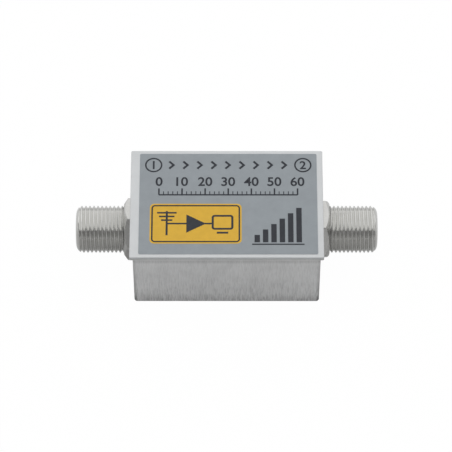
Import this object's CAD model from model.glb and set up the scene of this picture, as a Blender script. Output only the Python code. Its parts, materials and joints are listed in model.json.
# %% [markdown]
# # An in-line aerial amplifier
# A drawn can holds a small amplifier board. A pale cover with a printed label closes it, and a
# threaded socket with a hex nut stands out at each end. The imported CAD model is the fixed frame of
# this lesson: it says where every piece is and how large. The lesson gives the pieces the round
# edges, threads, wires and finishes that the light shows. Shapes are worked out in millimetres and
# put into the meshes in metres.

import json
from math import cos, pi, radians, sin

import bmesh
import bpy
import numpy as np
from mathutils import Matrix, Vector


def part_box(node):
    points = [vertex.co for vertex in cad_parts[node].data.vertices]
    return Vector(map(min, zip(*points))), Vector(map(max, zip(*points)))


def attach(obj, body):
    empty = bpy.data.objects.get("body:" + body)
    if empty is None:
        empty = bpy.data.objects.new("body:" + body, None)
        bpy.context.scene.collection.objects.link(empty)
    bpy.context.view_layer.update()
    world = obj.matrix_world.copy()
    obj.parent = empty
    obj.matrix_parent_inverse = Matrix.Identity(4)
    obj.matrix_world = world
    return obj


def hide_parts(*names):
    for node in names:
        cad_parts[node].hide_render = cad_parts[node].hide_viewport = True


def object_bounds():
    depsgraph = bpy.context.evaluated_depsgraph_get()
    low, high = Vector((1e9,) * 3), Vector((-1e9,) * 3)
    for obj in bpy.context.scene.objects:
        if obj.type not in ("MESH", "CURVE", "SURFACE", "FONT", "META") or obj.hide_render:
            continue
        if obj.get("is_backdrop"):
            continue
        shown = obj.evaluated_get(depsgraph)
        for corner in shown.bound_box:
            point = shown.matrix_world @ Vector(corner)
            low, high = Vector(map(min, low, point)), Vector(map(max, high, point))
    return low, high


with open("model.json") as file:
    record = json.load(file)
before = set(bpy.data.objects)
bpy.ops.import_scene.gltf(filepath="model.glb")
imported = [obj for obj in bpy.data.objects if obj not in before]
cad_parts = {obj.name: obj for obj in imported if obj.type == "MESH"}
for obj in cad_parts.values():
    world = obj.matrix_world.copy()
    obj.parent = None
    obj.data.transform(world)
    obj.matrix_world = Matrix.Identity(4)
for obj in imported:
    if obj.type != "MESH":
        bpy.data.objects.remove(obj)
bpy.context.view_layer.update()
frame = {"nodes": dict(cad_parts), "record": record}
nodes = frame["nodes"]
MM = 0.001


def box_mm(node):
    """Lowest and highest corner of a CAD node, in millimetres."""
    return [np.array(corner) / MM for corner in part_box(node)]


# %% [markdown]
# ## Camera
# The photo looks down on the front from about 57 degrees, and its lines hardly converge, so the
# camera stood far off with a long lens. The angles and the distance come from a pinhole camera that
# was fitted to the edges of cover, label, can and sockets. The turn is written as three axes, which
# are the columns of the camera's matrix.

# %% Camera at the photo's viewing angle
PHOTO_SIDE = 452
SENSOR = 36.0
FOCAL_PIXELS = 3065.0
azimuth, elevation, roll = radians(0.153), radians(56.8), radians(-0.109)
aim = np.array([0, 0, 9.1])
distance, aside, above = 602.0, -0.143, -0.03

back = np.array([sin(azimuth) * cos(elevation), -cos(azimuth) * cos(elevation), sin(elevation)])
level = np.array([cos(azimuth), sin(azimuth), 0])
rise = np.cross(back, level)
right = cos(roll) * level + sin(roll) * rise
up = cos(roll) * rise - sin(roll) * level
place = aim + distance * back + aside * right + above * up

lens = bpy.data.cameras.new("photo_camera")
lens.sensor_width = SENSOR
lens.lens = SENSOR * FOCAL_PIXELS / PHOTO_SIDE
lens.clip_start, lens.clip_end = 0.05, 20
camera = bpy.data.objects.new("photo_camera", lens)
bpy.context.scene.collection.objects.link(camera)
turned = np.eye(4)
turned[:3] = np.column_stack([right, up, back, place * MM])
camera.matrix_world = Matrix(turned.tolist())
bpy.context.scene.camera = camera
print("lens:", round(lens.lens, 1), "mm, camera at", np.round(place), "mm")

# %% [markdown]
# ## From grids of points to pieces
# Every new piece is a set of grids: rows and columns of points, with a face between each four
# neighbours. Rows or columns that fall together are merged, which closes seams, poles and ends
# without any special case. Then the faces are turned outwards and shaded smooth, with a hard
# edge wherever two faces meet at a clear angle.

# %% Mesh helpers
WELD = 2e-4
FLAT, TURNED, SMALL = 20, 30, 50
finishes = {}


def grid_faces(rows, columns, first):
    """Quads between neighbouring points of a rows by columns grid, numbered row by row from first."""
    point = first + np.arange(rows * columns).reshape(rows, columns)
    corners = (point[:-1, :-1], point[:-1, 1:], point[1:, 1:], point[1:, :-1])
    return np.stack(corners, axis=-1).reshape(-1, 4)


def make_mesh(name, grids, sharp=38):
    """One closed mesh from grids of points in mm: points nearer than WELD become one point. Edges sharper
    than the angle sharp stay hard: 38 degrees, or FLAT for print, TURNED for threads, SMALL for blocks."""
    points = np.concatenate([grid.reshape(-1, 3) for grid in grids])
    counts = [grid.shape[0] * grid.shape[1] for grid in grids]
    firsts = np.cumsum([0] + counts[:-1])
    faces = [grid_faces(*grid.shape[:2], first) for grid, first in zip(grids, firsts)]
    mesh = bpy.data.meshes.new(name)
    mesh.from_pydata((points * MM).tolist(), [], np.concatenate(faces).tolist())
    return clean_mesh(mesh, sharp)


def clean_mesh(mesh, sharp):
    """Merges doubles, turns the faces outwards and marks edges sharper than the given angle."""
    work = bmesh.new()
    work.from_mesh(mesh)
    bmesh.ops.remove_doubles(work, verts=work.verts, dist=WELD * MM)
    bmesh.ops.dissolve_degenerate(work, edges=work.edges, dist=WELD * MM)
    bmesh.ops.recalc_face_normals(work, faces=work.faces)
    open_edges = sum(not edge.is_manifold for edge in work.edges)
    work.to_mesh(mesh)
    work.free()
    mesh.polygons.foreach_set("use_smooth", np.ones(len(mesh.polygons), bool))
    mesh.set_sharp_from_angle(angle=radians(sharp))
    print(mesh.name, "faces:", len(mesh.polygons), "open edges:", open_edges)
    return mesh


def add_piece(mesh, finish, body, *stands_for, slot=None):
    """Puts a mesh into the scene as a piece with a finish. It rides on a CAD body and stands for the CAD
    nodes that are named. Its slot in the record has the finish's name, unless another is given."""
    piece = bpy.data.objects.new(mesh.name, mesh)
    bpy.context.scene.collection.objects.link(piece)
    mesh.materials.clear()
    mesh.materials.append(finishes[finish])
    even = piece.modifiers.new("even_shading", "WEIGHTED_NORMAL")
    even.keep_sharp = True
    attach(piece, body)
    if stands_for:
        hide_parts(*stands_for)
    return piece


# %% Profiles, outlines and turned shapes
LEAST_R = 0.02


def arc(centre, radius, start, stop, steps=7):
    """Points on a circle about centre, from angle start to stop in degrees: centre + radius (cos a, sin a).
    A pair of radii gives an ellipse."""
    a = np.radians(np.linspace(start, stop, steps))
    return np.asarray(centre) + np.stack([np.cos(a), np.sin(a)], axis=-1) * radius


def carried_round(half_x, half_y, corner, profile, centre=(0, 0), steps=9):
    """Grid of a profile carried round a rectangle with round corners: the row of a profile point
    (d, z) is the outline moved outwards by d, at height z, with corners of radius corner + d. A column
    of corners gives each row its own. The ends are drawn together to a point."""
    d, z = np.asarray(profile, float).T[:, :, None]
    angle = (np.arange(4)[:, None] * pi / 2 + np.linspace(0, pi / 2, steps)).ravel()
    side_x = np.repeat([1, -1, -1, 1], steps)
    side_y = np.repeat([1, 1, -1, -1], steps)
    radius = np.maximum(corner + d, LEAST_R)
    x = centre[0] + (half_x + d - radius) * side_x + radius * np.cos(angle)
    y = centre[1] + (half_y + d - radius) * side_y + radius * np.sin(angle)
    rings = np.stack([x, y, np.broadcast_to(z, x.shape)], axis=-1)
    rings = np.concatenate([rings, rings[:, :1]], axis=1)
    ends = rings[[0, -1]]
    ends[..., :2] = centre
    return np.concatenate([ends[:1], rings, ends[1:]])


def turned_points(radius, angle, along, origin, axis, start):
    """Points origin + along axis + radius (cos angle start + sin angle (axis x start))."""
    origin, axis, start = (np.asarray(v, float) for v in (origin, axis, start))
    across = np.cross(axis, start)
    radius, angle, along = (v[..., None] for v in np.broadcast_arrays(radius, angle, along))
    return origin + along * axis + radius * (np.cos(angle) * start + np.sin(angle) * across)


def lathe(profile, origin, axis, start, columns=96):
    """Grid of a profile of (radius, distance along the axis) turned about that axis."""
    radius, along = np.asarray(profile, float).T[:, :, None]
    angle = np.linspace(0, 2 * pi, columns + 1)
    return turned_points(radius, angle, along, origin, axis, start)


# %% Bands and blocks
MITRE_LEAST = 0.5


def band(path, upright, height, width):
    """Grid of a rectangle carried along a path: height lies along the fixed direction upright, width
    across the path. Bends are mitred. An open end is closed to a point in the middle of its face."""
    path, upright = np.asarray(path, float), np.asarray(upright, float)
    closed = np.allclose(path[0], path[-1])
    step = np.diff(path, axis=0)
    step /= np.linalg.norm(step, axis=1, keepdims=True)
    before = np.vstack([step[-1:] if closed else step[:1], step])
    after = np.vstack([step, step[:1] if closed else step[-1:]])
    mean = before + after
    mean /= np.linalg.norm(mean, axis=1, keepdims=True)
    reach = width / 2 / np.maximum((mean * after).sum(axis=1), MITRE_LEAST)
    out = np.cross(upright, mean) * reach[:, None]
    rise = upright * height / 2
    corners = (path + out + rise, path - out + rise, path - out - rise, path + out - rise, path + out + rise)
    rings = np.stack(corners, axis=1)
    if closed:
        return rings
    caps = np.repeat(path[[0, -1], None], 5, axis=1)
    return np.concatenate([caps[:1], rings, caps[1:]])


def rounded_block(low, high, r, draft=0.0, steps=4):
    """Grid of a block with round edges: a sphere's points, each moved outwards to its own corner. With a
    draft, the sides lean in by that share towards the top and the bottom, as on a moulding."""
    low, high = np.asarray(low, float), np.asarray(high, float)
    middle, half = (low + high) / 2, (high - low) / 2
    quarter = np.linspace(0, pi / 2, steps)
    lat = np.concatenate([quarter - pi / 2, [0], quarter])[:, None]
    lon = (np.arange(4)[:, None] * pi / 2 + quarter).ravel()
    side_x, side_y = np.repeat([1, -1, -1, 1], steps), np.repeat([1, 1, -1, -1], steps)
    side_z = np.repeat([-1, 0, 1], [steps, 1, steps])[:, None]
    ball = (np.cos(lat) * np.cos(lon), np.cos(lat) * np.sin(lon), np.sin(lat))
    sides = np.stack(np.broadcast_arrays(side_x, side_y, side_z), -1)
    offset = sides * (half - r) + r * np.stack(np.broadcast_arrays(*ball), -1)
    offset[..., :2] *= 1 - draft * np.abs(offset[..., 2:] / half[2])
    points = np.concatenate([middle + offset, middle + offset[:, :1]], axis=1)
    poles = points[[0, -1]].copy()
    poles[..., :2] = middle[:2]
    return np.concatenate([poles[:1], points, poles[1:]])


print("helpers ready")

# %% [markdown]
# ## Finishes that several pieces share
# Three effects come back on many pieces: lines that run one way (from drawing, turning or
# brushing), soft patches (handling, uneven plating), and fine specks (dust in paint, filler in a
# moulding). Each could be drawn anew in every material. Instead each is one node group with named
# sockets that gives out a mask only, and the shader itself stays in each material.


# %% Node helpers
def add_node(tree, kind, values=None, **settings):
    """Adds a shader node; values go to its named inputs, settings to its own properties."""
    made = tree.nodes.new("ShaderNode" + kind)
    for name, value in settings.items():
        setattr(made, name, value)
    for name, value in (values or {}).items():
        made.inputs[name].default_value = value
    return made


def calc(tree, operation, a, b=0.0):
    """Output of a Math node; a and b are numbers or sockets."""
    made = add_node(tree, "Math", operation=operation)
    for socket, value in zip(made.inputs, (a, b)):
        if isinstance(value, float):
            socket.default_value = value
        else:
            tree.links.new(value, socket)
    return made.outputs["Value"]


def ramp(tree, value, start, stop, low=0.0, high=1.0):
    """Output of a clamped Map Range node: low where value is at start, high where it is at stop."""
    made = add_node(tree, "MapRange", {"From Min": start, "From Max": stop, "To Min": low, "To Max": high})
    tree.links.new(value, made.inputs["Value"])
    return made.outputs["Result"]


def new_group(name, inputs, output):
    """An empty node group with the given input sockets and one mask, and its input and output nodes."""
    tree = bpy.data.node_groups.new(name, "ShaderNodeTree")
    for label, kind in inputs.items():
        tree.interface.new_socket(label, in_out="INPUT", socket_type="NodeSocket" + kind)
    tree.interface.new_socket(output, in_out="OUTPUT", socket_type="NodeSocketFloat")
    return tree, tree.nodes.new("NodeGroupInput"), tree.nodes.new("NodeGroupOutput")


# %% Group: lines that run one way
lines_group, given, put_out = new_group("lines_one_way", {"Place": "Vector", "Density": "Vector"}, "Line")
scaled = add_node(lines_group, "VectorMath", operation="MULTIPLY")
streaks = add_node(lines_group, "TexNoise", {"Scale": 1.0, "Detail": 3.0, "Roughness": 0.6})
spread = add_node(lines_group, "MapRange", {"From Min": 0.3, "From Max": 0.7})
lines_group.links.new(given.outputs["Place"], scaled.inputs[0])
lines_group.links.new(given.outputs["Density"], scaled.inputs[1])
lines_group.links.new(scaled.outputs["Vector"], streaks.inputs["Vector"])
lines_group.links.new(streaks.outputs["Fac"], spread.inputs["Value"])
lines_group.links.new(spread.outputs["Result"], put_out.inputs["Line"])
print("group:", lines_group.name)

# %% Group: soft patches
patch_group, given, put_out = new_group("soft_patches", {"Place": "Vector", "Scale": "Float"}, "Patch")
clouds = add_node(patch_group, "TexNoise", {"Detail": 4.0, "Roughness": 0.55})
spread = add_node(patch_group, "MapRange", {"From Min": 0.3, "From Max": 0.7})
patch_group.links.new(given.outputs["Place"], clouds.inputs["Vector"])
patch_group.links.new(given.outputs["Scale"], clouds.inputs["Scale"])
patch_group.links.new(clouds.outputs["Fac"], spread.inputs["Value"])
patch_group.links.new(spread.outputs["Result"], put_out.inputs["Patch"])
print("group:", patch_group.name)

# %% Group: fine specks
speck_group, given, put_out = new_group("fine_specks", {"Place": "Vector", "Scale": "Float"}, "Speck")
cells = add_node(speck_group, "TexVoronoi", {"Randomness": 1.0})
spread = add_node(speck_group, "MapRange", {"From Min": 0.28, "From Max": 0.12})
speck_group.links.new(given.outputs["Place"], cells.inputs["Vector"])
speck_group.links.new(given.outputs["Scale"], cells.inputs["Scale"])
speck_group.links.new(cells.outputs["Distance"], spread.inputs["Value"])
speck_group.links.new(spread.outputs["Result"], put_out.inputs["Speck"])
print("group:", speck_group.name)

# %% [markdown]
# ## One recipe for the materials
# A material here is a base colour that lines, patches and specks move a little, a roughness that the
# same sum moves, and a fine bump. The recipe takes those amounts, so that each finish is written as
# a few numbers that can be compared with the photo. Scales are in waves per metre, because the
# pieces lie in metres.


# %% Material recipe
BUMP_DEPTH = 0.02


def add_share(tree, mask, share, base):
    """The value base + share (mask - 1/2); base is a number or a socket."""
    sum_node = add_node(tree, "Math", {1: share}, operation="MULTIPLY_ADD")
    tree.links.new(mask, sum_node.inputs[0])
    if isinstance(base, float):
        sum_node.inputs[2].default_value = base - share / 2
        return sum_node.outputs["Value"]
    shifted = add_node(tree, "Math", {1: share / 2}, operation="SUBTRACT")
    tree.links.new(base, shifted.inputs[0])
    tree.links.new(shifted.outputs["Value"], sum_node.inputs[2])
    return sum_node.outputs["Value"]


def new_finish(name, colour, roughness, metallic=0.0, specular=0.5, lines=(0, 0, 0), line_share=0.0,
               patch_scale=400.0, patch_share=0.1, speck_scale=3000.0, speck_share=0.0,
               rough_share=0.15, bump=0.0, bump_scale=6000.0, grime=None):
    """A Principled material. tone = 1 + the shares of line, patch and speck; the base colour is
    colour x tone, the roughness is roughness + rough_share (1 - tone), and lines and grain make a bump.
    grime is a function that gives the share of the colour that dirt takes."""
    material = bpy.data.materials.new(name)
    material.use_nodes = True
    tree = material.node_tree
    link = tree.links.new
    shader = tree.nodes["Principled BSDF"]
    shader.inputs["Metallic"].default_value = metallic
    shader.inputs["Specular IOR Level"].default_value = specular
    where = add_node(tree, "TexCoord").outputs["Object"]

    def mask(group, socket, value):
        """A group placed in this material, with its scale or density set."""
        placed = add_node(tree, "Group", node_tree=group)
        placed.inputs[socket].default_value = value
        link(where, placed.inputs["Place"])
        return placed.outputs[0]

    patch = mask(patch_group, "Scale", patch_scale)
    tone = add_share(tree, patch, patch_share, 1.0)
    if line_share:
        line = mask(lines_group, "Density", lines)
        tone = add_share(tree, line, line_share, tone)
    if speck_share:
        tone = add_share(tree, mask(speck_group, "Scale", speck_scale), -speck_share, tone)
    if grime:
        tone = calc(tree, "MULTIPLY", tone, calc(tree, "SUBTRACT", 1.0, grime(tree, where)))
    base = add_node(tree, "VectorMath", {0: colour}, operation="SCALE")
    link(tone, base.inputs["Scale"])
    link(base.outputs["Vector"], shader.inputs["Base Color"])
    rough = add_node(tree, "Math", {1: -rough_share, 2: roughness + rough_share}, operation="MULTIPLY_ADD")
    link(tone, rough.inputs[0])
    link(rough.outputs["Value"], shader.inputs["Roughness"])
    if bump:
        height = mask(patch_group, "Scale", bump_scale)
        if line_share:
            height = calc(tree, "ADD", height, line)
        dents = add_node(tree, "Bump", {"Strength": bump, "Distance": BUMP_DEPTH * MM})
        link(height, dents.inputs["Height"])
        link(dents.outputs["Normal"], shader.inputs["Normal"])
    finishes[name] = material
    print("finish:", name)


# %% [markdown]
# ## Dirt on the can
# Bare aluminium stays clean on its flat walls, and darkens where a cloth doesn't reach: along the
# upright edges, most of all near the base, in a band under the flange, in the seam under the cover, and
# round the foot, where the drawing lines stand out more too. These places are known in the can's own
# coordinates, so ramps over x, y and z find them. Places are in millimetres.

# %% Grime on the can
FLANGE_OUT, DRAWN_LINES = 0.6, (6000, 6000, 500)
EDGE_BAND, EDGE_FULL = 0.75, 0.1
EDGE_Z, EDGE_SHARES = (0, 16), (0.6, 0.1)
UNDER_Z, UNDER_END_Z, UNDER_SHARE = (13.8, 14.5), (15.9, 16), 0.15
SEAM_Z, SEAM_SHARE = (16.2, 16.3), 0.22
FOOT_Z, FOOT_SHARE = (3, 0.2), 0.21
STREAK_Z, STREAK_SHARE = (9, 1), 0.3
can_high = box_mm("can")[1]
wall_x, wall_y = can_high[:2] - FLANGE_OUT


def can_grime(tree, where):
    """Share of dirt: upright edges x a fade in height + the band under the flange + the foot + the seam,
    + the drawing lines x a rise towards the foot."""
    split = add_node(tree, "SeparateXYZ")
    tree.links.new(where, split.inputs["Vector"])
    x, y, z = split.outputs

    def over(value, places, low, high):
        """A ramp between two places in mm, from low to high."""
        return ramp(tree, value, places[0] * MM, places[1] * MM, low, high)

    near_end = over(calc(tree, "ABSOLUTE", x), (wall_x - EDGE_BAND, wall_x - EDGE_FULL), 0, 1)
    near_side = over(calc(tree, "ABSOLUTE", y), (wall_y - EDGE_BAND, wall_y - EDGE_FULL), 0, 1)
    edge = calc(tree, "MULTIPLY", near_end, near_side)
    dirt = calc(tree, "MULTIPLY", edge, over(z, EDGE_Z, *EDGE_SHARES))
    under = calc(tree, "MULTIPLY", over(z, UNDER_Z, 0, UNDER_SHARE), over(z, UNDER_END_Z, 1, 0))
    line = add_node(tree, "Group", {"Density": DRAWN_LINES}, node_tree=lines_group)
    tree.links.new(where, line.inputs["Place"])
    shade = calc(tree, "SUBTRACT", 0.5, line.outputs["Line"])
    streak = calc(tree, "MULTIPLY", shade, over(z, STREAK_Z, 0, STREAK_SHARE))
    for more in (under, over(z, FOOT_Z, 0, FOOT_SHARE), over(z, SEAM_Z, 0, SEAM_SHARE), streak):
        dirt = calc(tree, "ADD", dirt, more)
    return dirt


print("walls from the middle in mm:", round(wall_x, 2), round(wall_y, 2))

# %% [markdown]
# ## The finishes
# What the photo shows takes its colour from there: bare and painted metal, nickel plate, film and ink.
# What lies inside takes the colours that such parts have. Lines follow the way each piece was made: up
# the walls of the drawn can, along the bar on the nuts, and round the axis on turned pieces.

# %% Metal finishes
new_finish("drawn_aluminium", (0.91, 0.915, 0.915), 0.38, 1.0, lines=DRAWN_LINES, line_share=0.17,
           patch_scale=260, patch_share=0.1, rough_share=0.25, bump=0.2, grime=can_grime)
new_finish("nickel_plate", (0.64, 0.638, 0.622), 0.12, 1.0, lines=(7000, 300, 300), line_share=0.04,
           patch_scale=500, patch_share=0.06, rough_share=0.25, bump=0.04)
new_finish("nut_plate", (0.555, 0.553, 0.54), 0.2, 1.0, lines=(500, 500, 5000), line_share=0.06,
           patch_scale=400, patch_share=0.08, rough_share=0.25, bump=0.08)
new_finish("spring_steel", (0.45, 0.45, 0.44), 0.35, 1.0, patch_scale=800, patch_share=0.2, bump=0.1)
new_finish("contact_bronze", (0.62, 0.50, 0.25), 0.25, 1.0, lines=(6000, 300, 300), line_share=0.1,
           patch_scale=600, rough_share=0.2, bump=0.08)
new_finish("capacitor_can", (0.55, 0.56, 0.57), 0.3, 1.0, lines=(400, 400, 3000), line_share=0.06, bump=0.05)
new_finish("copper_wire", (0.62, 0.22, 0.085), 0.3, 0.9, patch_scale=900, patch_share=0.2)
new_finish("solder", (0.55, 0.56, 0.57), 0.3, 1.0, patch_scale=1500, patch_share=0.2, bump=0.2,
           bump_scale=3000)

# %% Paint, film, ink and plastic finishes
new_finish("pale_paint", (0.61, 0.625, 0.635), 0.45, patch_scale=300, patch_share=0.05, speck_scale=2500,
           speck_share=0.05, bump=0.1, bump_scale=4000)
new_finish("printed_film", (0.282, 0.309, 0.331), 0.5, specular=0.35, patch_scale=500, patch_share=0.08,
           speck_scale=6000, speck_share=0.05, bump=0.1)
new_finish("yellow_print", (0.67, 0.40, 0.035), 0.5, specular=0.35, patch_scale=700, patch_share=0.08,
           speck_scale=6000, speck_share=0.08)
new_finish("dark_ink", (0.022, 0.025, 0.033), 0.5, specular=0.35, patch_scale=1500, patch_share=0.3)
new_finish("white_plastic", (0.80, 0.80, 0.76), 0.45, patch_scale=500, patch_share=0.04, bump=0.06)
new_finish("board_laminate", (0.03, 0.13, 0.06), 0.35, patch_scale=900, patch_share=0.25, bump=0.12)
new_finish("masked_track", (0.045, 0.21, 0.085), 0.33, patch_scale=900, patch_share=0.2, bump=0.1)
new_finish("black_mould", (0.022, 0.022, 0.024), 0.55, patch_scale=2500, patch_share=0.3, speck_scale=9000,
           speck_share=0.3, bump=0.35, bump_scale=9000)
new_finish("ferrite", (0.035, 0.035, 0.038), 0.6, patch_scale=1800, patch_share=0.35, speck_scale=7000,
           speck_share=0.3, bump=0.4)
new_finish("tan_ceramic", (0.38, 0.24, 0.12), 0.5, patch_scale=3000, patch_share=0.2, bump=0.1)
new_finish("dark_ceramic", (0.025, 0.025, 0.028), 0.3, patch_scale=3000, patch_share=0.3)

# %% Finishes on the CAD nodes
for part in frame["record"]["subparts"]:
    shown = nodes[part["node"]].data
    shown.materials.clear()
    shown.materials.append(finishes[part["material_slot"]])
print("finishes:", len(finishes), "on", len(nodes), "nodes")

# %% [markdown]
# ## The can
# The real can is pressed from one sheet: the walls run into the floor over a round edge, and at the
# mouth they flare out into a narrow flange. A box with bevels would do, but the bends differ from edge
# to edge, so the sheet's section is drawn once, outside and inside, and carried round the can's
# outline. The holes for the sockets are then cut through both end walls at once.

# %% Can shell
SHEET = 0.5
EDGE_R, RIM_CORNER_R = 0.6, 0.3
BASE_R, LIP_R, INNER_R = 0.4, 0.12, 0.25
FLARE_OUT, FLARE_H = 0.4, 1.0
flange_top = can_high[2]
flange_low = flange_top - SHEET

can_section = np.vstack([
    arc((-BASE_R, BASE_R), BASE_R, -90, 0, 9),
    arc((FLARE_OUT, flange_low - FLARE_H), (FLARE_OUT, FLARE_H), 180, 90, 9),
    arc((FLANGE_OUT - LIP_R, flange_low + LIP_R), LIP_R, -90, 0),
    arc((FLANGE_OUT - LIP_R, flange_top - LIP_R), LIP_R, 0, 90),
    arc((-SHEET + LIP_R, flange_top - LIP_R), LIP_R, 90, 180),
    arc((-SHEET - INNER_R, SHEET + INNER_R), INNER_R, 0, -90),
])
stand_out = np.maximum(can_section[:, :1], 0)
can_corner = EDGE_R - stand_out * (1 + (EDGE_R - RIM_CORNER_R) / FLANGE_OUT)
can_mesh = make_mesh("can_shell", [carried_round(wall_x, wall_y, can_corner, can_section)])
can_shell = add_piece(can_mesh, "drawn_aluminium", "housing", "can")

# %% Socket holes
socket_low, socket_high = box_mm("output_socket")
AXIS_Z = (socket_low[2] + socket_high[2]) / 2
HOLE_R, DRILL_REACH = 4.725, 30
drill_profile = [(0, -DRILL_REACH), (HOLE_R, -DRILL_REACH), (HOLE_R, DRILL_REACH), (0, DRILL_REACH)]
drill = lathe(drill_profile, (0, 0, AXIS_Z), (1, 0, 0), (0, 1, 0))
driller = bpy.data.objects.new("drill", make_mesh("drill", [drill]))
bpy.context.scene.collection.objects.link(driller)
cut = can_shell.modifiers.new("socket_holes", "BOOLEAN")
cut.object, cut.operation, cut.solver = driller, "DIFFERENCE", "EXACT"
can_shell.modifiers.move(1, 0)
bpy.context.view_layer.objects.active = can_shell
bpy.ops.object.modifier_apply(modifier=cut.name)
bpy.data.objects.remove(driller)
print("can after drilling:", len(can_shell.data.polygons), "faces")

# %% [markdown]
# ## The cover and its label
# The cover is a pale plate that lies on the flange. Its upper edge is rolled over, and a thin slot
# under that edge makes the dark line between the two. Its lip holds it in the can's mouth. It is made as
# the can is, because its edges differ too. The label is a film, stuck on slightly to one side.

# %% Cover plate
LIP_GAP, LIP_T, LIP_BEVEL_OUT, LIP_BEVEL_IN = 0.12, 0.8, 0.15, 0.1
TOP_R, UNDER_R, SEAM_H, SEAM_IN = 0.2, 0.04, 0.04, 0.55
cover_low, cover_high = box_mm("cover")
top, lip_end = cover_high[2], cover_low[2]
lip_out = -(FLANGE_OUT + SHEET + LIP_GAP)
lip_in = lip_out - LIP_T
cover_section = np.vstack([
    arc((-TOP_R, top - TOP_R), TOP_R, 90, 0),
    arc((-UNDER_R, flange_top + SEAM_H + UNDER_R), UNDER_R, 0, -90),
    [(-SEAM_IN, flange_top + SEAM_H), (-SEAM_IN, flange_top), (lip_out, flange_top)],
    [(lip_out, lip_end + LIP_BEVEL_OUT), (lip_out - LIP_BEVEL_OUT, lip_end)],
    [(lip_in + LIP_BEVEL_IN, lip_end), (lip_in, lip_end + LIP_BEVEL_IN), (lip_in, flange_top)],
])
cover_grid = carried_round(cover_high[0], cover_high[1], RIM_CORNER_R, cover_section)
add_piece(make_mesh("cover_plate", [cover_grid]), "pale_paint", "cover", "cover")

# %% Label film
FILM_DROP, FILM_BEVEL, FILM_CORNER_R = 0.03, 0.02, 0.3
label_low, label_high = box_mm("label")
label_middle = (label_low + label_high)[:2] / 2
label_half = (label_high - label_low)[:2] / 2
film_top = label_high[2] - FILM_DROP
film_section = [(0, label_low[2]), (0, film_top - FILM_BEVEL), (-FILM_BEVEL, film_top)]
film_grid = carried_round(*label_half, FILM_CORNER_R, film_section, label_middle)
add_piece(make_mesh("label_film", [film_grid]), "printed_film", "cover", "label")

# %% [markdown]
# ## The print on the label
# The print is plain ink in two colours: a yellow panel and dark lines and figures. It could be a
# drawing inside the film's material, but thin plates of ink keep their edges sharp at any distance,
# so every line is a flat band carried along a path. The panel shows the signal's way from an aerial
# through an amplifier to a screen. Beside it stand rising level bars, and above them lie a scale with
# plain figures and a row of arrows between the numbers of the two terminals.

# %% Ink layers
PANEL_T, INK_T, INK_SINK, INK_STEP = 0.008, 0.02, 0.01, 0.0001
FINE_W, SIGN_W, MAST_W, BOLD_W = 0.3, 0.36, 0.4, 0.42
ink = []


def ink_line(path, width):
    """Adds an ink band of the given width along a path of (x, y), measured from the label's middle."""
    path = np.asarray(path, float) + label_middle
    middle = np.full((len(path), 1), film_top + (INK_T - INK_SINK) / 2 + len(ink) * INK_STEP)
    ink.append(band(np.hstack([path, middle]), (0, 0, 1), INK_T + INK_SINK, width))


def ink_frame(half, corner, centre, width):
    """Adds an ink band round a rectangle with round corners about centre."""
    ink_line(carried_round(*half, corner, [(0, 0)], centre)[1, :, :2], width)


def ink_plate(outline):
    """Adds a filled ink shape: a closed outline of (x, y) from the label's middle, drawn to its own
    middle on the upper and lower face."""
    outline = np.asarray(outline, float) + label_middle
    rim = np.vstack([outline, outline[:1]])
    hub = np.broadcast_to(outline.mean(axis=0), rim.shape)
    below, above = film_top - INK_SINK, film_top + INK_T + len(ink) * INK_STEP
    rows = [(hub, below), (rim, below), (rim, above), (hub, above)]
    ink.append(np.stack([np.column_stack([xy, np.full(len(xy), z)]) for xy, z in rows]))


# %% Yellow panel
PANEL, PANEL_HALF, PANEL_CORNER_R = (-6.3, -4.7), (8.9, 4.6), 0.9
FRAME_IN, FRAME_CORNER_R = 0.45, 0.6
panel_section = [(0, film_top - INK_SINK), (0, film_top + PANEL_T)]
panel_grid = carried_round(*PANEL_HALF, PANEL_CORNER_R, panel_section, label_middle + PANEL)
add_piece(make_mesh("yellow_panel", [panel_grid]), "yellow_print", "cover", slot="printed_film")
ink_frame(np.array(PANEL_HALF) - FRAME_IN, FRAME_CORNER_R, PANEL, FINE_W)


# %% Aerial, amplifier and screen
def on_panel(*points):
    """Points given from the panel's middle, as points from the label's middle."""
    return np.array(points) + PANEL


AERIAL_X, MAST_FOOT, MAST_TOP = -5.6, -2.7, 2.9
AERIAL_BARS = ((2.5, 1.9), (1.65, 1.5), (0.8, 1.1))
BACK_X, BACK_Y, TIP_X, INTO_BACK, INTO_TIP = -1.8, 2.1, 2.0, 0.1, 0.4
SCREEN_X, SCREEN_RISE, SCREEN_HALF, SCREEN_CORNER_R = 5.2, 0.3, (1.9, 1.5), 0.4
STAND_HALF, STAND_Y = 1.1, -2.1
ink_line(on_panel((AERIAL_X, MAST_FOOT), (AERIAL_X, MAST_TOP)), MAST_W)
for rise, reach in AERIAL_BARS:
    ink_line(on_panel((AERIAL_X - reach, rise), (AERIAL_X + reach, rise)), SIGN_W)
ink_plate(on_panel((BACK_X, -BACK_Y), (TIP_X, 0), (BACK_X, BACK_Y)))
ink_frame(SCREEN_HALF, SCREEN_CORNER_R, on_panel((SCREEN_X, SCREEN_RISE))[0], BOLD_W)
ink_line(on_panel((SCREEN_X - STAND_HALF, STAND_Y), (SCREEN_X + STAND_HALF, STAND_Y)), BOLD_W)
for start, stop in ((AERIAL_X, BACK_X + INTO_BACK), (TIP_X - INTO_TIP, SCREEN_X - SCREEN_HALF[0])):
    ink_line(on_panel((start, 0), (stop, 0)), SIGN_W)
print("panel signs:", len(ink), "bands and plates")

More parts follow.
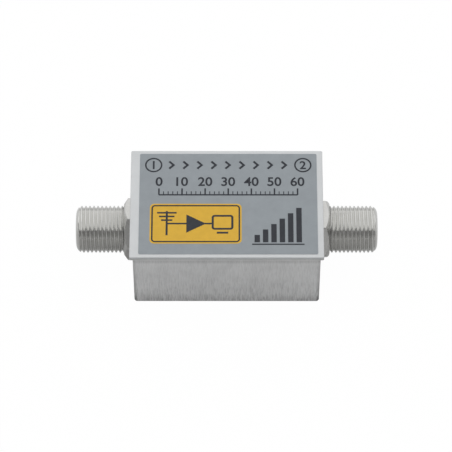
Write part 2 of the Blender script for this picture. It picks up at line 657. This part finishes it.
# %% Level bars
BARS, BAR_X, BAR_W, BAR_STEP, BAR_FOOT = 6, 5.6, 1.05, 1.62, -9.0
FIRST_BAR_H, BAR_GAIN = 1.7, 1.25
BASE_ENDS, BASE_DROP, BASE_W = (4.6, 14.7), 0.45, 0.28
for i in range(BARS):
    left, bar_top = BAR_X + i * BAR_STEP - BAR_W / 2, BAR_FOOT + FIRST_BAR_H + i * BAR_GAIN
    ink_plate([(left, BAR_FOOT), (left + BAR_W, BAR_FOOT), (left + BAR_W, bar_top), (left, bar_top)])
ink_line([(x, BAR_FOOT - BASE_DROP) for x in BASE_ENDS], BASE_W)
print("with level bars:", len(ink), "bands and plates")

# %% Scale, terminals and arrows
SCALE_Y, SCALE_END, TICKS, TICKS_PER_FIGURE = 2.0, 13.5, 30, 5
LONG_TICK, SHORT_TICK = (1.5, 0.3), (0.8, 0.17)
RING_X, RING_Y, RING_R = 14.6, 9.0, 1.55
ARROWS, ARROW_END, ARROW_BACK, ARROW_TIP, ARROW_HALF = 9, 11, 0.55, 0.3, 0.85
ink_line([(-SCALE_END, SCALE_Y), (SCALE_END, SCALE_Y)], FINE_W)
for i, x in enumerate(np.linspace(-SCALE_END, SCALE_END, TICKS + 1)):
    length, width = SHORT_TICK if i % TICKS_PER_FIGURE else LONG_TICK
    ink_line([(x, SCALE_Y), (x, SCALE_Y + length)], width)
for end in (-1, 1):
    ink_line(arc((end * RING_X, RING_Y), RING_R, 0, 360, 49), FINE_W)
for x in np.linspace(-ARROW_END, ARROW_END, ARROWS):
    low, high = (x - ARROW_BACK, RING_Y - ARROW_HALF), (x - ARROW_BACK, RING_Y + ARROW_HALF)
    ink_line([high, (x + ARROW_TIP, RING_Y), low], BOLD_W)
add_piece(make_mesh("ink_lines", ink, FLAT), "dark_ink", "cover", slot="printed_film")

# %% Figures
FIGURE_BOLD, FIGURE_DEEP = 0.018, 0.1


def figure_mesh(name, figures):
    """One mesh of printed figures, each (text, x, y, height) from the label's middle. The built-in letter
    shapes are made a mesh, brought to the height, and then moved to their places."""
    points, faces, count = [], [], 0
    for text, x, y, height in figures:
        letters = bpy.data.curves.new("figures", "FONT")
        letters.body, letters.offset, letters.extrude = text, FIGURE_BOLD, FIGURE_DEEP
        holder = bpy.data.objects.new("figures", letters)
        shape = bpy.data.meshes.new_from_object(holder)
        spots = np.empty(len(shape.vertices) * 3)
        shape.vertices.foreach_get("co", spots)
        spots = spots.reshape(-1, 3)
        low, high = spots.min(axis=0), spots.max(axis=0)
        flat = (spots - (low + high) / 2)[:, :2] * height / (high - low)[1] + label_middle + (x, y)
        layer = np.where(spots[:, 2] > 0, film_top + INK_T, film_top - INK_SINK)
        points.append(np.column_stack([flat, layer]))
        faces += [tuple(count + corner for corner in face.vertices) for face in shape.polygons]
        count += len(spots)
        bpy.data.objects.remove(holder)
        bpy.data.curves.remove(letters)
        bpy.data.meshes.remove(shape)
    mesh = bpy.data.meshes.new(name)
    mesh.from_pydata((np.concatenate(points) * MM).tolist(), [], faces)
    return clean_mesh(mesh, FLAT)


FIGURE_RISE, FIGURE_H, TERMINAL_H = 3.1, 2.1, 1.9
figure_x = np.linspace(-SCALE_END, SCALE_END, TICKS // TICKS_PER_FIGURE + 1)
figures = [(str(10 * i), x, SCALE_Y + FIGURE_RISE, FIGURE_H) for i, x in enumerate(figure_x)]
figures += [("1", -RING_X, RING_Y, TERMINAL_H), ("2", RING_X, RING_Y, TERMINAL_H)]
add_piece(figure_mesh("ink_figures", figures), "dark_ink", "cover", slot="printed_film")

# %% [markdown]
# ## Threaded sockets
# A barrel is turned from brass: inner flange, shank, 3/8-32 thread, and a mouth with a rounded rim. A
# screw thread is a profile that climbs one pitch in each turn, so each row of the grid is a helix: its
# distance along the axis grows with the angle. Where a row would pass the thread's start or the mouth
# it is held there, and the rows that meet are merged. The rim is a quarter of an ellipse that no point
# may pass, so the grooves run out on it as they do behind a die.

# %% Socket sizes
PITCH, THREAD_R, ROOT_R, SHANK_R = 0.79375, 4.625, 4.2, 4.425
ROWS_PER_PITCH = 16
SOCKET_OUT, RIM_L, RIM_R = 11.4, 1.4, 1.6
BORE_R, MOUTH_R, MOUTH_LIP = 3.3, 2.9, 0.5
INNER_FLANGE_R, INNER_FLANGE_T, WASHER_U = 6.0, 1.2, -1.0
THREAD_FROM = 1.67
AROUND = 120
back_u = WASHER_U - INNER_FLANGE_T


def socket_frame(end):
    """Origin, outward axis and starting direction of a socket: end is -1 at the input, 1 at the output."""
    return (end * wall_x, 0, AXIS_Z), (end, 0, 0), (0, end, 0)


def thread_rows(end):
    """Rows of a right-hand thread. At angle a, a row that starts at s lies at s + pitch a / 2 pi. Its
    radius is a cosine wave of s, held below a run-in cone at the start and the rim at the mouth."""
    phase = np.arange(ROWS_PER_PITCH) / ROWS_PER_PITCH
    height = (1 - np.cos(2 * pi * phase)) / 2
    turns = int((SOCKET_OUT - THREAD_FROM) / PITCH) + 3
    start = (np.arange(turns)[:, None] - 1 + phase).reshape(-1, 1) * PITCH + THREAD_FROM
    wave = np.tile(ROOT_R + (THREAD_R - ROOT_R) * height, turns)[:, None]
    angle = np.linspace(0, 2 * pi, AROUND + 1)
    along = start + PITCH * angle / (2 * pi)
    run_in = SHANK_R + (along - THREAD_FROM)
    on_rim = np.clip((along - SOCKET_OUT + RIM_L) / RIM_L, 0, 1)
    rim = THREAD_R - RIM_R + RIM_R * np.sqrt(1 - on_rim ** 2)
    radius = np.minimum(wave, np.minimum(run_in, rim))
    radius = np.where(along <= THREAD_FROM, SHANK_R, radius)
    return turned_points(radius, angle, np.clip(along, THREAD_FROM, SOCKET_OUT), *socket_frame(end))


# %% Barrels
LUG_L, LUG_W, LUG_T, LUG_APART, LUG_IN, LUG_EDGE = 3.0, 1.8, 0.8, 9.0, 0.3, 0.12
EDGE = 0.1
board_low, board_high = box_mm("circuit_board")


def barrel_grids(end):
    """The turned barrel as one closed grid, from bore to flange, thread, mouth and back, and two lugs."""
    inner = [(BORE_R, back_u), (INNER_FLANGE_R - EDGE, back_u), (INNER_FLANGE_R, back_u + EDGE),
             (INNER_FLANGE_R, WASHER_U - EDGE), (INNER_FLANGE_R - EDGE, WASHER_U), (SHANK_R, WASHER_U),
             (SHANK_R, THREAD_FROM)]
    rim_end = THREAD_R - RIM_R
    mouth = [(rim_end, SOCKET_OUT), (MOUTH_R + EDGE, SOCKET_OUT), (MOUTH_R, SOCKET_OUT - EDGE),
             (MOUTH_R, SOCKET_OUT - MOUTH_LIP), (BORE_R, SOCKET_OUT - MOUTH_LIP), (BORE_R, back_u)]
    spot = socket_frame(end)
    body = np.concatenate([lathe(inner, *spot, AROUND), thread_rows(end), lathe(mouth, *spot, AROUND)])
    lug_x = end * (wall_x + back_u + np.array([-LUG_L, LUG_IN]))
    lugs = [rounded_block((lug_x.min(), y - LUG_W / 2, board_low[2] - LUG_T),
                          (lug_x.max(), y + LUG_W / 2, board_low[2]), LUG_EDGE)
            for y in (-LUG_APART / 2, LUG_APART / 2)]
    return [body] + lugs


for end, name in ((-1, "input"), (1, "output")):
    barrel = make_mesh(name + "_barrel", barrel_grids(end), TURNED)
    add_piece(barrel, "nickel_plate", "housing", name + "_socket")

# %% [markdown]
# ## Guide plugs in the mouths
# A white plug closes each mouth, and its funnel guides a lead's centre wire into the contact. It is a
# turned shape like the barrel, with the small radii of a moulding.

# %% Guide plugs
PLUG_BACK, PLUG_FRONT, PLUG_FACE, POCKET_END = 7.5, 10.9, 11.3, 9.1
PLUG_R, FACE_R, POCKET_R, GUIDE_R, FUNNEL_R, FUNNEL_L = 3.26, 2.86, 0.99, 0.75, 1.3, 0.9
PLUG_EDGE = 0.2
plug_profile = np.vstack([
    [(POCKET_R, PLUG_BACK), (PLUG_R - EDGE, PLUG_BACK), (PLUG_R, PLUG_BACK + EDGE), (PLUG_R, PLUG_FRONT)],
    [(FACE_R, PLUG_FRONT)],
    arc((FACE_R - PLUG_EDGE, PLUG_FACE - PLUG_EDGE), PLUG_EDGE, 0, 90),
    arc((FUNNEL_R + PLUG_EDGE, PLUG_FACE - PLUG_EDGE), PLUG_EDGE, 90, 150, 5),
    [(GUIDE_R, PLUG_FACE - FUNNEL_L), (GUIDE_R, POCKET_END), (POCKET_R, POCKET_END), (POCKET_R, PLUG_BACK)],
])
for end, name in ((-1, "input"), (1, "output")):
    plug = make_mesh(name + "_guide_plug", [lathe(plug_profile, *socket_frame(end))])
    add_piece(plug, "white_plastic", "housing", name + "_insulator")

# %% [markdown]
# ## Hex nuts
# A nut's flats end in curved bevels, because a cone is turned on a hexagon. In polar form that is
# simple: the hexagon's radius at an angle, the cone's radius at a height, and the lesser of the two.
# A soft minimum rounds the edge where they meet, as plating does.

# %% Nuts
NUT_AF, NUT_T, NUT_FACE_R, NUT_SINK = 10.8, 2.0, 5.03, 0.4
NUT_BORE_R, NUT_MOUTH_R, NUT_CORNER_R = 4.475, 4.725, 6.17
NUT_BEVEL, BEVEL_L, BEVEL_ROWS = radians(35), 0.9, 26
CORNER_SOFT, BEVEL_SOFT, NUT_FOOT_H, NUT_FOOT_IN, NUT_FACE_IN = 0.05, 0.08, 0.08, 0.06, 0.1
NUT_AROUND = 240


def soft_min(a, b, soft):
    """The lesser of a and b, rounded over a band of width soft where they are close."""
    share = np.clip(0.5 + 0.5 * (b - a) / soft, 0, 1)
    return b + (a - b) * share - soft * share * (1 - share)


def nut_grid(end, corner):
    """Closed grid of a nut: radius = soft minimum of hexagon(angle) and bevel cone(height), then the
    outer face, the countersink and the bore. corner is a corner's angle above the front."""
    angle = np.linspace(0, 2 * pi, NUT_AROUND + 1)
    first = radians(180 - corner) if end > 0 else radians(corner)
    from_flat = (angle - first) % (pi / 3) - pi / 6
    hexagon = soft_min(NUT_AF / 2 / np.cos(from_flat), np.full_like(angle, NUT_CORNER_R), CORNER_SOFT)
    height = np.concatenate([[0.0, NUT_FOOT_H], np.linspace(NUT_T - BEVEL_L, NUT_T, BEVEL_ROWS)])[:, None]
    cone = NUT_FACE_R + (NUT_T - height) / np.tan(NUT_BEVEL)
    sides = soft_min(hexagon, cone, BEVEL_SOFT)
    sides[0] -= NUT_FOOT_IN
    bore = [(NUT_FACE_R - NUT_FACE_IN, NUT_T), (NUT_MOUTH_R, NUT_T), (NUT_BORE_R, NUT_T - NUT_SINK),
            (NUT_BORE_R, 0)]
    outer = turned_points(sides, angle, height, *socket_frame(end))
    return np.concatenate([outer, lathe(bore, *socket_frame(end), NUT_AROUND), outer[:1]])


for end, name, corner in ((-1, "input", 18), (1, "output", 60)):
    nut = make_mesh(name + "_hex_nut", [nut_grid(end, corner)], TURNED)
    add_piece(nut, "nut_plate", "housing", name + "_nut")

# %% [markdown]
# ## Coils and choke
# Each filter coil is enamelled wire, wound in air and standing on its two ends. A wire is a circle
# carried along a path: up one leg, round three and a half turns, and down the other leg. The choke is
# a wire through a ferrite tube, so its tube is turned, with the soft edges of pressed powder.

# %% Coil wires
COIL_WIRE, COIL_PITCH, COIL_TURNS = 0.5, 1.1, 3.5
STEPS_PER_TURN, LEG_STEPS, LEG_TOP = 48, 6, 0.25


def tube(path, side, radius, around=16):
    """Grid of a circle carried along a path. At each point the circle lies square to the path; its first
    point is the part of the direction side that is square to the path. The ends are closed."""
    path, side = np.asarray(path, float), np.asarray(side, float)
    along = np.gradient(path, axis=0)
    along /= np.linalg.norm(along, axis=1, keepdims=True)
    first = side - (along @ side)[:, None] * along
    first /= np.linalg.norm(first, axis=1, keepdims=True)
    second = np.cross(along, first)
    angle = np.linspace(0, 2 * pi, around + 1)[:, None]
    rings = path[:, None] + radius * (np.cos(angle) * first[:, None] + np.sin(angle) * second[:, None])
    caps = np.repeat(path[[0, -1], None], around + 1, axis=1)
    return np.concatenate([caps[:1], rings, caps[1:]])


def coil_path(name):
    """Path of a coil in its CAD box: legs at the sides, joined by a helix about the box's length."""
    low, high = box_mm(name)
    radius = high[1] - COIL_WIRE / 2
    middle = np.array([(low[0] + high[0]) / 2, 0, high[2] - COIL_WIRE / 2 - radius])
    turn = np.linspace(0, 2 * pi * COIL_TURNS, int(STEPS_PER_TURN * COIL_TURNS))
    length = COIL_PITCH * COIL_TURNS
    winding = np.stack([length * (turn / turn[-1] - 0.5), radius * np.cos(turn), radius * np.sin(turn)], -1)
    drop = np.linspace(middle[2] - low[2], LEG_TOP, LEG_STEPS)[:, None] * np.array([0, 0, -1])
    return middle + np.concatenate([winding[0] + drop, winding, winding[-1] + drop[::-1]])


for name in ("input_coil", "output_coil"):
    winding = make_mesh(name + "_winding", [tube(coil_path(name), (1, 0, 0), COIL_WIRE / 2)])
    add_piece(winding, "copper_wire", "housing", name)

# %% Choke core
CORE_BORE_R, CORE_EDGE, CORE_MOUTH = 0.65, 0.25, 0.1
core_low, core_high = box_mm("choke_core")
core_half = (core_high - core_low)[0] / 2
core_r = (core_high - core_low)[2] / 2
core_side = np.vstack([
    [(CORE_BORE_R, CORE_MOUTH - core_half), (CORE_BORE_R + CORE_MOUTH, -core_half)],
    arc((core_r - CORE_EDGE, CORE_EDGE - core_half), CORE_EDGE, -90, 0),
])
core_profile = np.vstack([core_side, core_side[::-1] * (1, -1), core_side[:1]])
core_grid = lathe(core_profile, (core_low + core_high) / 2, (1, 0, 0), (0, 1, 0), 64)
add_piece(make_mesh("ferrite_tube", [core_grid]), "ferrite", "housing", "choke_core")

# %% [markdown]
# ## Moulded parts with leads
# Chip, regulator and diode are black mouldings whose sides lean in from the parting line, with flat
# tinned leads bent down to the board and out again. The body is a block with a draft, and a lead is a
# band that is carried along the bend's side view.

# %% Moulded bodies and leads
LEAD_OUT, LEAD_T, LEAD_RISE, LEAD_IN = 0.8, 0.2, 0.7, 0.3
UPPER_BEND, LOWER_BEND, BEND_R = 0.1, 0.5, 0.2
MOULD_EDGE, MOULD_DRAFT = 0.12, 0.05
BOARD_TOP = board_high[2]
lead_bend = np.vstack([
    [(-LEAD_IN, LEAD_RISE - LEAD_T / 2)],
    arc((UPPER_BEND, LEAD_RISE - LEAD_T / 2 - BEND_R), BEND_R, 90, 10, 5),
    arc((LOWER_BEND, LEAD_T / 2 + BEND_R), BEND_R, 190, 270, 5),
    [(LEAD_OUT, LEAD_T / 2)],
])


def lead_grids(edge, out, count, width, pitch):
    """Bent leads in a row: edge is the middle of the body's side at board level, out points away from it."""
    edge, out = np.asarray(edge, float), np.asarray(out, float)
    beside = np.cross((0, 0, 1), out)
    places = (np.arange(count) - (count - 1) / 2)[:, None] * pitch * beside + edge
    bend = lead_bend[:, :1] * out + lead_bend[:, 1:] * np.array([0, 0, 1])
    return [band(place + bend, beside, width, LEAD_T) for place in places]


def moulding(node, name, low, high, leads):
    """A moulded body between two corners, raised a little on its leads, and the leads themselves."""
    top_z = box_mm(node)[1][2]
    body = rounded_block((*low, BOARD_TOP + LEAD_T / 2), (*high, top_z), MOULD_EDGE, MOULD_DRAFT)
    add_piece(make_mesh(name + "_body", [body], SMALL), "black_mould", "housing", node)
    grids = [grid for row in leads for grid in lead_grids(*row)]
    add_piece(make_mesh(name + "_leads", grids, SMALL), "solder", "housing", node)


# Node, name, width of each of the three leads, and share of the length that the wide lead takes.
THREE_LEADS = (("amplifier_chip", "amplifier", 0.5, 1 / 3), ("voltage_regulator", "regulator", 0.7, 1 / 2))
for node, name, width, share in THREE_LEADS:
    low, high = box_mm(node)
    low, high = low[:2] + (0, LEAD_OUT), high[:2] - (0, LEAD_OUT)
    x, length = (low[0] + high[0]) / 2, high[0] - low[0]
    moulding(node, name, low, high, [((x, high[1], BOARD_TOP), (0, 1, 0), 1, length * share, 0),
                                     ((x, low[1], BOARD_TOP), (0, -1, 0), 3, width, length / 3)])
low, high = box_mm("protection_diode")
low, high = low[:2] + (LEAD_OUT, 0), high[:2] - (LEAD_OUT, 0)
y, depth = (low[1] + high[1]) / 2, high[1] - low[1]
moulding("protection_diode", "diode", low, high, [((high[0], y, BOARD_TOP), (1, 0, 0), 1, depth / 2, 0),
                                                  ((low[0], y, BOARD_TOP), (-1, 0, 0), 1, depth / 2, 0)])

# %% [markdown]
# ## Smoothing capacitor
# An aluminium sleeve stands on a square plastic foot, with a groove rolled into it above the foot that
# holds its seal. The sleeve is a turned profile with an arc for the groove, and the foot a rounded block.

# %% Smoothing capacitor
CAN_R, CAN_EDGE, FOOT_T, FOOT_EDGE, FOOT_LAP = 2.0, 0.3, 0.8, 0.15, 0.1
ROLL, ROLL_Z, ROLL_OUT = 0.25, 1.55, 0.05
tank_low, tank_high = box_mm("smoothing_capacitor")
tank_x, tank_y = ((tank_low + tank_high) / 2)[:2]
tank_h = tank_high[2] - tank_low[2]
tank_profile = np.vstack([
    [(0, FOOT_T - FOOT_LAP), (CAN_R, FOOT_T - FOOT_LAP), (CAN_R, ROLL_Z - ROLL)],
    arc((CAN_R + ROLL_OUT, ROLL_Z), ROLL, 260, 100, 9),
    [(CAN_R, ROLL_Z + ROLL)],
    arc((CAN_R - CAN_EDGE, tank_h - CAN_EDGE), CAN_EDGE, 0, 90),
    [(0, tank_h)],
])
tank = lathe(tank_profile, (tank_x, tank_y, BOARD_TOP), (0, 0, 1), (1, 0, 0), 64)
add_piece(make_mesh("capacitor_sleeve", [tank]), "capacitor_can", "housing", "smoothing_capacitor")
foot = rounded_block((*tank_low[:2], BOARD_TOP), (*tank_high[:2], BOARD_TOP + FOOT_T), FOOT_EDGE)
add_piece(make_mesh("capacitor_foot", [foot], SMALL), "black_mould", "housing", "smoothing_capacitor")

# %% [markdown]
# ## Chip capacitors and resistors
# These are blocks of a millimetre or two with a tinned cap at each end. All the blocks of a kind are
# one mesh and all their caps another, because each mesh carries one finish.

# %% Blocks
BLOCK_L, BLOCK_W, BLOCK_EDGE, BLOCK_STEP = 1.6, 0.8, 0.06, 1.7
CAP_L, CAP_T, CAP_EDGE = 0.35, 0.03, 0.08
NEAR_Y, FAR_Y, SERIES_X = -3.75, -6.25, 3.95
ONE_SET, OTHER_SET = (-4, -1, 2), (-2, 1, 4)


def block_row(steps, y):
    """Places of blocks that lie along y in a row, at the given numbers of steps from the middle."""
    return [(i * BLOCK_STEP, y, 1) for i in steps]


signal_places = [(-SERIES_X, 0, 0), (SERIES_X, 0, 0)]
capacitor_places = signal_places + block_row(ONE_SET, NEAR_Y) + block_row(OTHER_SET, FAR_Y)
resistor_places = block_row(OTHER_SET, NEAR_Y) + block_row(ONE_SET, FAR_Y)


def block_grids(places, height):
    """Grids of the bodies and of the caps of blocks at (x, y, turned), lying along y where turned is 1."""
    bodies, caps = [], []
    for x, y, turned in places:
        way = np.array([1 - turned, turned, 0])
        size = np.array([BLOCK_W, BLOCK_W, height]) + way * (BLOCK_L - BLOCK_W)
        low = np.array([x, y, BOARD_TOP]) - size * (0.5, 0.5, 0)
        inset = way * CAP_T
        bodies.append(rounded_block(low + inset, low + size - inset - (0, 0, CAP_T), BLOCK_EDGE))
        thick = CAP_T * (1 - way) * (1, 1, 0)
        cap = size * (1 - way) + way * CAP_L
        caps.append(rounded_block(low - thick, low + cap + thick, CAP_EDGE))
        caps.append(rounded_block(low + size - cap - thick, low + size + thick, CAP_EDGE))
    return bodies, caps


for node, name, finish, places in (("chip_capacitors", "ceramic_capacitor", "tan_ceramic", capacitor_places),
                                   ("chip_resistors", "film_resistor", "dark_ceramic", resistor_places)):
    height = box_mm(node)[1][2] - BOARD_TOP
    bodies, caps = block_grids(places, height)
    add_piece(make_mesh(name + "_bodies", bodies, SMALL), finish, "housing", node)
    add_piece(make_mesh(name + "_caps", caps, SMALL), "solder", "housing", node)

# %% [markdown]
# ## Tracks and pads
# The board's copper shows as slightly raised, lighter tracks under the green mask, and as bare tinned
# pads where parts are soldered. Colour drawn on the board would do from afar, but raised copper catches
# the light. So tracks are bands along their routes, and pads are low blocks.

# %% Track helpers
TRACK_T, TRACK_W, TRACK_SINK, TRACK_STEP = 0.035, 0.7, 0.01, 0.0004


def coil_legs(name):
    """Places (x, y) of a coil's two legs, at opposite corners of its CAD box."""
    (x_low, y_low, _), (x_high, y_high, _) = box_mm(name)
    return (x_low + COIL_WIRE / 2, y_high - COIL_WIRE / 2), (x_high - COIL_WIRE / 2, y_low + COIL_WIRE / 2)


def track_band(route, number):
    """A copper band along a route of (x, y). Each lies one step higher than the band before it, because
    faces at one height would flicker where they cross."""
    middle = BOARD_TOP + (TRACK_T - TRACK_SINK) / 2 + number * TRACK_STEP
    path = np.hstack([route, np.full((len(route), 1), middle)])
    return band(path, (0, 0, 1), TRACK_T + TRACK_SINK, TRACK_W)


# %% Tracks
PAD_OFF, TAIL_X, FRONT_Y, FRONT_END = 0.8, 12.9, -9.6, 13.5
(in_near, in_far), (out_near, out_far) = coil_legs("input_coil"), coil_legs("output_coil")
routes = [
    [(-TAIL_X, 0), (1 - TAIL_X, 0), in_near],
    [in_far, (-6, 0), (-SERIES_X - PAD_OFF, 0)],
    [(-SERIES_X + PAD_OFF, 0), (-2.7, -1.2), (-1.5, -2.1)],
    [(1.5, -2.1), (2.7, -1.2), (SERIES_X - PAD_OFF, 0)],
    [(SERIES_X + PAD_OFF, 0), (6, 0.4), out_near],
    [out_far, (TAIL_X - 1, 0), (TAIL_X, 0)],
    [(tank_x - 6, tank_y), (tank_x - 2.4, tank_y)],
    [(tank_x + 2.4, tank_y - 1.2), (tank_x + 3.4, tank_y - 3.6), (0, tank_y - 5), (0, -2.1)],
    [(-FRONT_END, FRONT_Y), (FRONT_END, FRONT_Y)],
]
routes += [[(x, y - 1.2), (x, FRONT_Y)] for x, y, _ in block_row(OTHER_SET, FAR_Y)]
routes += [[(x, y - 0.6), (x, FAR_Y + 0.6)] for x, y, _ in block_row((-4, -2, -1, 1, 2, 4), NEAR_Y)]
routes += [[(x, y + PAD_OFF), (x, -1.9), stop]
           for (x, y, _), stop in zip(block_row((-4, 4), NEAR_Y), ((-6.2, -0.4), (6.2, 0.2)))]
copper = [track_band(route, number) for number, route in enumerate(routes)]
add_piece(make_mesh("board_tracks", copper, FLAT), "masked_track", "housing", slot="board_laminate")

# %% Pads and through holes
PAD_W, PAD_T, PAD_SINK, PAD_EDGE = 0.84, 0.05, 0.03, 0.03
EYELET_IN, EYELET_OUT, EYELET_BEVEL, EYELET_DROP = 0.2, 0.42, 0.04, 0.01
HOLES, HOLE_END = 14, 13
pad_low = np.array([-PAD_W / 2, -PAD_W / 2, BOARD_TOP - PAD_SINK])
pad_high = np.array([PAD_W / 2, PAD_W / 2, BOARD_TOP + PAD_T])
pad_places = [(x + s * (1 - turned), y + s * turned, 0)
              for x, y, turned in capacitor_places + resistor_places for s in (-PAD_OFF, PAD_OFF)]
pad_grids = [rounded_block(pad_low + spot, pad_high + spot, PAD_EDGE, steps=3) for spot in pad_places]
eyelet = [(EYELET_IN, -PAD_SINK), (EYELET_OUT, -PAD_SINK), (EYELET_OUT, PAD_T - EYELET_DROP),
          (EYELET_OUT - EYELET_BEVEL, PAD_T), (EYELET_IN + EYELET_BEVEL, PAD_T),
          (EYELET_IN, PAD_T - EYELET_DROP), (EYELET_IN, -PAD_SINK)]
for x in np.linspace(-HOLE_END, HOLE_END, HOLES):
    pad_grids.append(lathe(eyelet, (x, FRONT_Y, BOARD_TOP), (0, 0, 1), (1, 0, 0), 20))
add_piece(make_mesh("tinned_pads", pad_grids, sharp=40), "solder", "housing", slot="solder")

# %% [markdown]
# ## Floor and light
# The photo has a white ground and even light from all round, as in a light tent. Only the front is
# darker, below the camera: the upper halves of the barrels shine, the lower halves are dark, and the
# line between them is sharp. So the world is an even white, and a dark card is bent round the front,
# with its top edge at the angle where that line falls. The edge sinks towards the card's ends, and the
# card is lighter near the floor. The camera doesn't see it. The floor is white to the camera and still
# takes the object's shadow. In reflections it is dim in front of the object and brighter behind it.

# %% Stage helpers
MATT = 0.9


def matt_material(name):
    """A material without gloss: the material, its node tree and its shader."""
    material = bpy.data.materials.new(name)
    material.use_nodes = True
    shader = material.node_tree.nodes["Principled BSDF"]
    shader.inputs["Roughness"].default_value = MATT
    shader.inputs["Specular IOR Level"].default_value = 0.0
    return material, material.node_tree, shader


def own_place(tree, axis):
    """Output of one of the Object coordinates, X, Y or Z."""
    split = add_node(tree, "SeparateXYZ")
    tree.links.new(add_node(tree, "TexCoord").outputs["Object"], split.inputs["Vector"])
    return split.outputs[axis]


def stage_sheet(name, points, material):
    """A sheet over a grid of points, in metres, that belongs to the studio and not to the object."""
    points = np.asarray(points, float)
    sheet = bpy.data.meshes.new(name)
    sheet.from_pydata(points.reshape(-1, 3).tolist(), [], grid_faces(*points.shape[:2], 0).tolist())
    sheet.materials.append(material)
    piece = bpy.data.objects.new(name, sheet)
    bpy.context.scene.collection.objects.link(piece)
    piece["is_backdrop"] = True
    return piece


# %% Floor
FLOOR_SIDE, PAPER_TONE, CAMERA_SHARE, GLOW = 3.0, 0.48, 0.96, 1.022
MIRROR_SWEEP, MIRROR_GLOWS = 8 * MM, (0.08, 0.55)
white_floor, tree, paper = matt_material("white_floor")
paper.inputs["Base Color"].default_value = (PAPER_TONE, PAPER_TONE, PAPER_TONE, 1)
glow = add_node(tree, "Emission", {"Color": (1, 1, 1, 1), "Strength": GLOW})
ray = add_node(tree, "LightPath").outputs
mirrored = calc(tree, "MAXIMUM", ray["Is Glossy Ray"], ray["Is Transmission Ray"])
dim = ramp(tree, own_place(tree, "Y"), -MIRROR_SWEEP, MIRROR_SWEEP, *MIRROR_GLOWS)
seen = calc(tree, "MULTIPLY", ray["Is Camera Ray"], CAMERA_SHARE)
share = calc(tree, "ADD", seen, calc(tree, "MULTIPLY", mirrored, dim))
mixed = add_node(tree, "MixShader")
for source, socket in zip((share, paper.outputs["BSDF"], glow.outputs["Emission"]), mixed.inputs):
    tree.links.new(source, socket)
tree.links.new(mixed.outputs["Shader"], tree.nodes["Material Output"].inputs["Surface"])
half = FLOOR_SIDE / 2
stage_sheet("floor", [[(x, y, 0) for x in (-half, half)] for y in (-half, half)], white_floor)
print("floor side:", FLOOR_SIDE, "m")

# %% Light tent
TENT_LEVEL = 1.115
world = bpy.data.worlds.new("light_tent")
bpy.context.scene.world = world
world.use_nodes = True
sky = world.node_tree.nodes["Background"]
sky.inputs["Color"].default_value = (1, 1, 1, 1)
sky.inputs["Strength"].default_value = TENT_LEVEL
bpy.context.scene.view_settings.view_transform = "Standard"
print("tent level:", TENT_LEVEL)

# %% Dark card
CARD_R, CARD_LOW, CARD_TURN, CARD_COLUMNS = 0.65, 0.012, 110, 53
CARD_EDGE, CARD_FALL = 49, 0.97
CARD_FADE, CARD_TONES = 0.3, (0.85, 0.4)
dark_card, tree, card_face = matt_material("dark_card")
tone = ramp(tree, own_place(tree, "Z"), 0, CARD_FADE, *CARD_TONES)
tree.links.new(tone, card_face.inputs["Base Color"])

turn = np.linspace(-CARD_TURN, CARD_TURN, CARD_COLUMNS)
edge = np.radians(CARD_EDGE * (1 - CARD_FALL * (turn / CARD_TURN) ** 4))
around = CARD_R * np.stack([np.sin(np.radians(turn)), -np.cos(np.radians(turn))], axis=-1)
card_points = np.stack([np.column_stack([around, np.full(len(turn), CARD_LOW)]),
                        np.column_stack([around, CARD_R * np.tan(edge)])])
card = stage_sheet("card", card_points, dark_card)
card.visible_camera = False
print("card height:", round(card_points[1, :, 2].max(), 2), "m")

# %% Sizes and finish
low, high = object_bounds()
print("visual size in mm:", np.round(np.array(high - low) / MM, 2))
